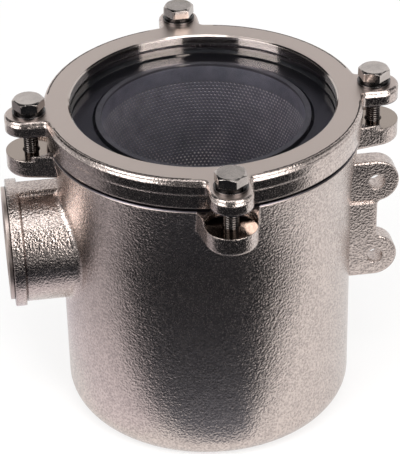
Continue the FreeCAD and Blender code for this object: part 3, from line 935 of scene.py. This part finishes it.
@dataclass
class PerforatedWall:
    """The basket's rolled sheet: staggered holes between plain bands, open at the inlet."""

    steel: Material
    # Pale finish of the hole walls: a painted highlight that shows the holes as light dots.
    edge: Material
    inner_radius: float = 61.2 * MM
    sheet: float = 1.0 * MM
    low: float = 8.0 * MM
    high: float = 187.4 * MM
    field_low: float = 17.0 * MM
    field_high: float = 177.5 * MM
    columns: int = 152
    rows: int = 72
    hole_share: float = 0.6048
    hole_sides: int = 6
    opening_radius: float = 27.0 * MM
    opening_margin: float = 1.2 * MM
    collar_width: float = 4.0 * MM
    collar_proud: float = 0.35 * MM
    collar_steps: int = 72

    def row_height(self) -> float:
        """Height of one row of holes."""
        return (self.field_high - self.field_low) / self.rows

    def tile(self) -> Thing:
        """Make one brick of sheet with its hole, in the plane of Y and Z.

        Returns:
            The brick, whose attribute punched marks the hole's walls.
        """
        sides = self.hole_sides
        across = math.pi * (self.inner_radius + self.sheet / 2) / self.columns
        up = self.row_height() / 2
        edge = [(0.0, up), (across, up), (across, -up), (0.0, -up), (-across, -up),
                (-across, up)]
        reach = self.row_height() * self.hole_share / 2
        hole = [(reach * math.sin(turn), reach * math.cos(turn)) for turn in circle(sides)]
        points = [(depth, y, z) for depth in (0.0, self.sheet) for y, z in edge + hole]
        faces = []
        for step in range(sides):
            rim, hole_rim, back, hole_back = (
                [start + step, start + (step + 1) % sides]
                for start in range(0, 4 * sides, sides))
            faces += [rim + hole_rim[::-1], back[::-1] + hole_back,
                      hole_rim + hole_back[::-1]]
        mesh = bpy.data.meshes.new("basket_tile")
        mesh.from_pydata(points, [], faces)
        punched = mesh.attributes.new("punched", "BOOLEAN", "FACE")
        for number in range(2, len(faces), 3):
            punched.data[number].value = True
        return stand("basket_tile", mesh)

    def half(self, name: str, tile: Thing, first: int) -> Thing:
        """Repeat the brick over half of the wall and roll the sheet round Z.

        Args:
            name: the half's name.
            tile: the brick that is repeated.
            first: the half's first column.

        Returns:
            The half.
        """
        made = Recipe("perforated_wall", {
            "Columns": self.columns // 2, "First column": first, "Rows": self.rows,
            "Width": 2 * math.pi / self.columns, "Height": self.row_height(),
            "Radius": self.inner_radius, "Low": self.field_low + self.row_height() / 2,
            "Opening height": PORT_HEIGHT,
            "Opening radius": self.opening_radius + self.opening_margin})
        graph, columns, radius = made.graph, made.size("Columns"), made.size("Radius")
        points = graph.add("GeometryNodePoints", {
            "Count": graph.product(columns, made.size("Rows"))})
        index = graph.add("GeometryNodeInputIndex")
        row = graph.math("FLOOR", graph.math("DIVIDE", index, columns))
        column = graph.plus(graph.math("FLOORED_MODULO", index, columns),
                            made.size("First column"))
        shift = graph.product(graph.math("FLOORED_MODULO", row, 2.0), 0.5)
        turn = graph.product(graph.plus(column, shift), made.size("Width"))
        height = graph.plus(made.size("Low"), graph.product(row, made.size("Height")))
        centre = graph.add("ShaderNodeCombineXYZ", {2: height})
        placed = graph.add("GeometryNodeSetPosition", {
            "Geometry": points, "Position": centre})
        across = graph.product(graph.math("SINE", turn), radius)
        rise = graph.minus(height, made.size("Opening height"))
        clear = graph.above(graph.distance(across, rise), made.size("Opening radius"))
        behind = graph.above(graph.math("COSINE", turn), 0.0)
        bricks = graph.add("GeometryNodeInstanceOnPoints", {
            "Points": placed, "Selection": graph.either(clear, behind),
            "Instance": graph.add("GeometryNodeObjectInfo",
                                  {"Object": tile}).outputs["Geometry"],
            "Rotation": graph.add("ShaderNodeCombineXYZ", {2: turn})})
        stood = graph.add("GeometryNodeTranslateInstances", {
            "Instances": bricks, "Local Space": True,
            "Translation": graph.add("ShaderNodeCombineXYZ", {0: radius})})
        holes = graph.add("GeometryNodeInputNamedAttribute", {"Name": "punched"},
                          data_type="BOOLEAN")
        return made.bake(name, stood, [(self.steel, True), (self.edge, holes)])

    def collar(self) -> None:
        """Weld the rolled ring round the opening that faces the inlet."""
        middle = self.inner_radius + self.sheet / 2
        proud = self.sheet / 2 + self.collar_proud
        rings = []
        for depth, reach in ((-proud, 0.0), (proud, 0.0), (proud, self.collar_width),
                             (-proud, self.collar_width)):
            out = middle + depth
            ring = []
            for angle in circle(self.collar_steps):
                turn = (self.opening_radius + reach) * math.cos(angle) / middle
                rise = (self.opening_radius + reach) * math.sin(angle)
                ring.append((-out * math.cos(turn), out * math.sin(turn),
                             PORT_HEIGHT + rise))
            rings.append(ring)
        made = skin("basket_collar", rings)
        dress(made, self.steel)
        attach(made, "bowl")

    def build(self) -> None:
        """Make the wall in two halves, with its bands and the collar of its opening."""
        tile, first, outer = self.tile(), -self.columns // 4, self.inner_radius + self.sheet
        right = self.half("basket_sheet_right", tile, first)
        finishes = list(right.data.materials)
        bands = [lathe("basket_band", [(self.inner_radius, low), (outer, low), (outer, high),
                                       (self.inner_radius, high)], self.columns)
                 for low, high in ((self.low, self.field_low), (self.field_high, self.high))]
        for face in (face for band in bands for face in band.data.polygons):
            face.material_index = finishes.index(self.steel)
        right = join(right.name, [right, *bands])
        for finish in finishes:
            right.data.materials.append(finish)
        left = self.half("basket_sheet_left", tile, first + self.columns // 2)
        for sheet in (right, left):
            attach(sheet, "bowl")
            log.info("%s: %d faces", sheet.name, len(sheet.data.polygons))
        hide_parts("basket_wall")
        bpy.data.objects.remove(tile)
        self.collar()


# ---------------- studio
def outward(turn: float, rise: float, away: float = 1.0) -> Vector:
    """Step away from a place at angles in degrees.

    Args:
        turn: the angle from the front, towards +X.
        rise: the angle above the level.
        away: the step's length.

    Returns:
        The step.
    """
    side, lift = math.radians(turn), math.radians(rise)
    flat = math.cos(lift) * away
    return Vector((math.sin(side) * flat, -math.cos(side) * flat, math.sin(lift) * away))


@dataclass(frozen=True)
class Fade:
    """How a card pales towards the bowl, as a floor does under lamps."""

    near: float
    far: float
    length: float
    colour: Colour


@dataclass(frozen=True)
class Panel:
    """A flat panel that faces the object, placed round it by angles in degrees."""

    name: str
    turn: float
    rise: float
    size: Span
    away: float = 1.35
    oval: bool = False
    rim_steps: int = 32

    def centre(self) -> Vector:
        """The panel's middle."""
        return MIDDLE + outward(self.turn, self.rise, self.away)

    def corners(self) -> list[Point]:
        """Find the panel's corners.

        Returns:
            The corners, in order.
        """
        centre, (width, height) = self.centre(), self.size
        level = (MIDDLE - centre).to_track_quat("Z", "Y").to_matrix()
        rim = [(-1.0, -1.0), (1.0, -1.0), (1.0, 1.0), (-1.0, 1.0)]
        if self.oval:
            rim = [(math.cos(turn), math.sin(turn)) for turn in circle(self.rim_steps)]
        return [tuple(centre + level @ Vector((side * width / 2, up * height / 2, 0.0)))
                for side, up in rim]


@dataclass(frozen=True)
class Lamp(Panel):
    """A soft rectangular lamp."""

    away: float = 1.4
    power: float = 10.0
    tone: tuple[float, float, float] = (1.0, 1.0, 1.0)

    def build(self) -> None:
        """Hang the lamp so that it faces the object."""
        data = bpy.data.lights.new(self.name, "AREA")
        data.shape = "RECTANGLE"
        data.size, data.size_y = self.size
        data.energy = self.power
        data.color = self.tone
        lamp = stand(self.name, data)
        lamp.location = self.centre()
        aim = MIDDLE - self.centre()
        lamp.rotation_euler = aim.to_track_quat("-Z", "Y").to_euler()


@dataclass
class Studio:
    """White sweep, large soft lamps and the dark cards that shade the metal."""

    floor_size: float = 14.0
    floor_tone: Colour = (0.90, 0.90, 0.90, 1.0)
    floor_glow: float = 0.62
    white: Colour = (1.0, 1.0, 1.0, 1.0)
    room_light: float = 0.75
    card_colour: Colour = (0.80, 0.86, 1.0, 1.0)
    card_tone: float = 0.022
    card_height: float = 0.004
    front_fade: Fade = Fade(0.42, 0.022, 0.042, (0.80, 0.86, 1.0, 1.0))
    left_fade: Fade = Fade(1.00, 0.08, 0.24, (1.0, 0.945, 0.985, 1.0))
    bowl_radius: float = 0.094
    front_outline: tuple[Span, ...] = (
        (-1.1, -0.035), (-0.05, -0.099), (0.02, -0.104), (0.033, -0.118), (0.145, -0.172),
        (0.25, -0.165), (1.1, -0.36), (1.1, -1.7), (-1.1, -1.7))
    left_outline: tuple[Span, ...] = (
        (-1.1, 0.60), (-1.1, -0.034), (-0.055, -0.0975), (-0.115, 0.0), (-0.10, 0.09))
    outlet_outline: tuple[Span, ...] = (
        (-0.10, 0.004), (0.10, 0.004), (0.10, 0.17), (-0.10, 0.17))
    outlet_away: float = 0.16
    high_cards: tuple[Panel, ...] = (
        Panel("front_card_high", turn=-16.0, rise=31.0, size=(1.35, 1.50)),
        Panel("right_card", turn=82.0, rise=34.0, size=(1.45, 1.10)),
        Panel("left_card", turn=-112.0, rise=34.0, size=(1.45, 1.10)),
        Panel("top_card", turn=180.0, rise=78.0, size=(1.60, 0.95)),
        Panel("lid_card", turn=172.0, rise=31.5, size=(0.46, 0.25), away=2.2, oval=True))
    lamps: tuple[Lamp, ...] = (
        Lamp("lamp_left", turn=-60.0, rise=33.0, size=(0.86, 0.80), power=12.0,
             tone=(1.0, 0.985, 0.97)),
        Lamp("lamp_right", turn=29.0, rise=33.0, size=(0.88, 0.80), power=13.0,
             tone=(1.0, 0.965, 0.93)),
        Lamp("lamp_top", turn=0.0, rise=66.0, size=(0.8, 0.3), power=2.5))

    def seen_directly(self, graph: NodeGraph) -> Socket:
        """1 for rays from the camera and for those that metal and glass send on."""
        rays = graph.add("ShaderNodeLightPath").outputs
        return graph.either(rays["Is Camera Ray"], rays["Is Glossy Ray"],
                            rays["Is Transmission Ray"])

    def world(self) -> None:
        """White surroundings, a little dimmer as a source of light."""
        world = bpy.data.worlds.new("white_room")
        bpy.context.scene.world = world
        world.use_nodes = True
        graph = NodeGraph(world.node_tree)
        graph.fill(world.node_tree.nodes["Background"], {
            "Color": self.white,
            "Strength": graph.ramp(self.seen_directly(graph), 0.0, 1.0, self.room_light)})

    def floor(self) -> None:
        """Pale floor that keeps the object's shadow."""
        mesh = bpy.data.meshes.new("studio_floor")
        half = self.floor_size / 2
        corners = [(-half, -half, 0), (half, -half, 0), (half, half, 0), (-half, half, 0)]
        mesh.from_pydata(corners, [], [(0, 1, 2, 3)])
        floor = stand("studio_floor", mesh)
        material, graph, shader = new_material("studio_paper")
        graph.fill(shader, {"Base Color": self.floor_tone, "Roughness": 1.0,
                            "Specular IOR Level": 0.0})
        glow = graph.add("ShaderNodeEmission", {"Color": self.white, "Strength": 1.0})
        share = graph.product(self.seen_directly(graph), self.floor_glow)
        graph.surface(graph.add("ShaderNodeMixShader", {0: share, 1: shader, 2: glow}))
        mesh.materials.append(material)

    def hang(self, name: str, corners: list[Point], fade: Fade | None = None) -> Thing:
        """Hang a near-black glowing card that only reflections and the clear lid see.

        Args:
            name: the card's name.
            corners: its corners in order.
            fade: how it pales towards the bowl, if it does.

        Returns:
            The card.
        """
        mesh = bpy.data.meshes.new(name)
        mesh.from_pydata(corners, [], [tuple(range(len(corners)))])
        card = stand(name, mesh)
        material, graph, _shader = new_material(name)
        feeds = {"Color": self.card_colour, "Strength": self.card_tone}
        if fade:
            gap = graph.minus(Place(graph).radius, self.bowl_radius)
            fall = graph.math("POWER", math.e, graph.product(gap, -1.0 / fade.length))
            feeds = {"Color": fade.colour,
                     "Strength": graph.plus(graph.product(fall, fade.near), fade.far)}
        graph.surface(graph.add("ShaderNodeEmission", feeds))
        mesh.materials.append(material)
        card.visible_camera = False
        card.visible_diffuse = False
        card.visible_shadow = False
        return card

    def build(self) -> None:
        """Set up the whole studio."""
        self.world()
        self.floor()
        for name, outline, fade in (("front_card_low", self.front_outline, self.front_fade),
                                    ("left_card_low", self.left_outline, self.left_fade)):
            self.hang(name, [(x, y, self.card_height) for x, y in outline], fade)
        for card in self.high_cards:
            self.hang(card.name, card.corners())
        outlet = self.hang("outlet_card", [(x, self.outlet_away, z)
                                           for x, z in self.outlet_outline])
        outlet.visible_glossy = False
        for lamp in self.lamps:
            lamp.build()


@dataclass
class Camera:
    """The viewpoint, given by its turn about the object and what it aims at."""

    azimuth: float = -7.833
    elevation: float = 32.850
    roll: float = -1.277
    distance: float = 1.260
    target: Point = (-0.00346, 0.00048, 0.11302)
    focal_share: float = 5.08325
    sensor: float = 36.0

    def build(self) -> None:
        """Place the camera and make it the scene's own."""
        data = bpy.data.cameras.new("viewpoint")
        data.sensor_fit = "HORIZONTAL"
        data.sensor_width = self.sensor
        data.lens = self.focal_share * self.sensor
        camera = stand("viewpoint", data)
        away = outward(self.azimuth, self.elevation)
        level = away.to_track_quat("Z", "Y").to_matrix().to_4x4()
        rolled = level @ Matrix.Rotation(math.radians(self.roll), 4, "Z")
        centre = Vector(self.target) + away * self.distance
        camera.matrix_world = Matrix.Translation(centre) @ rolled
        bpy.context.scene.camera = camera


class Strainer:
    """The whole object: finishes on the solids and the pieces that replace or join them."""

    def __init__(self) -> None:
        """Mix the finishes once."""
        self.bowl_metal = CastNickel(CastPart.BOWL).build()
        self.ring_metal = CastNickel(CastPart.RING).build()
        self.steel = {steel.name: steel.build() for steel in (
            BrightSteel("bright_steel", root_tone=(0.045, 0.042, 0.042, 1.0)),
            # Painted shade: the washers under the bolt heads are toned dark, the spring
            # washer near black.
            BrightSteel("washer_steel", tone=(0.15, 0.14, 0.14, 1.0), roughness=0.20,
                        edge_radius=0.35 * MM),
            BrightSteel("spring_steel", tone=(0.05, 0.047, 0.047, 1.0), roughness=0.25),
            BrightSteel("sheet_steel", tone=(0.50, 0.480, 0.535, 1.0), roughness=0.46,
                        edge_radius=0.4 * MM),
            # Painted highlight: the walls of the basket's holes are toned pale, so they show
            # as light dots.
            BrightSteel("punched_edge", tone=(0.86, 0.82, 0.80, 1.0), roughness=0.86),
            # Painted shade: the basket's rim under the lid is toned darker than its sheet.
            BrightSteel("rim_steel", tone=(0.20, 0.185, 0.20, 1.0), roughness=0.40))}
        self.rubber = BlackRubber().build()
        self.clear = ClearSheet().build()

    def dress_solids(self) -> None:
        """Put a finish on each solid that stays in view."""
        washers = {f"{kind}_washer_{side.value}": self.steel[name] for side in Side
                   for kind, name in (("spring", "spring_steel"), ("flat", "washer_steel"))}
        slots: dict[str, dict[str, Material]] = {
            "cast_nickel": {"strainer_body": self.bowl_metal, "lid_ring": self.ring_metal},
            "clear_lid": {"lid_glass": self.clear},
            "rubber": {"glass_gasket": self.rubber, "body_seal": self.rubber},
            "stainless": {"basket_floor": self.steel["sheet_steel"],
                          "basket_rim": self.steel["rim_steel"],
                          "basket_foot_band": self.steel["sheet_steel"], **washers}}
        for slot, materials in slots.items():
            for node, material in materials.items():
                dress(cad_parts[node], material)
                log.info("solid %s dressed", node)

    def build(self) -> None:
        """Dress the solids and add every made piece."""
        self.dress_solids()
        for side in Side:
            LidBolt(side).build(self.steel["bright_steel"])
        PerforatedWall(self.steel["sheet_steel"], self.steel["punched_edge"]).build()
        PipeThread("inlet_thread", turned_about="Y").build(self.bowl_metal)
        PipeThread("outlet_thread", turned_about="X").build(self.bowl_metal)


def main() -> None:
    """Build the object, its studio and the camera."""
    logging.basicConfig(level=logging.INFO, format="%(name)s: %(message)s")
    bpy.context.scene.view_settings.view_transform = "Standard"
    Strainer().build()
    Studio().build()
    Camera().build()


if __name__ == "__main__":
    main()
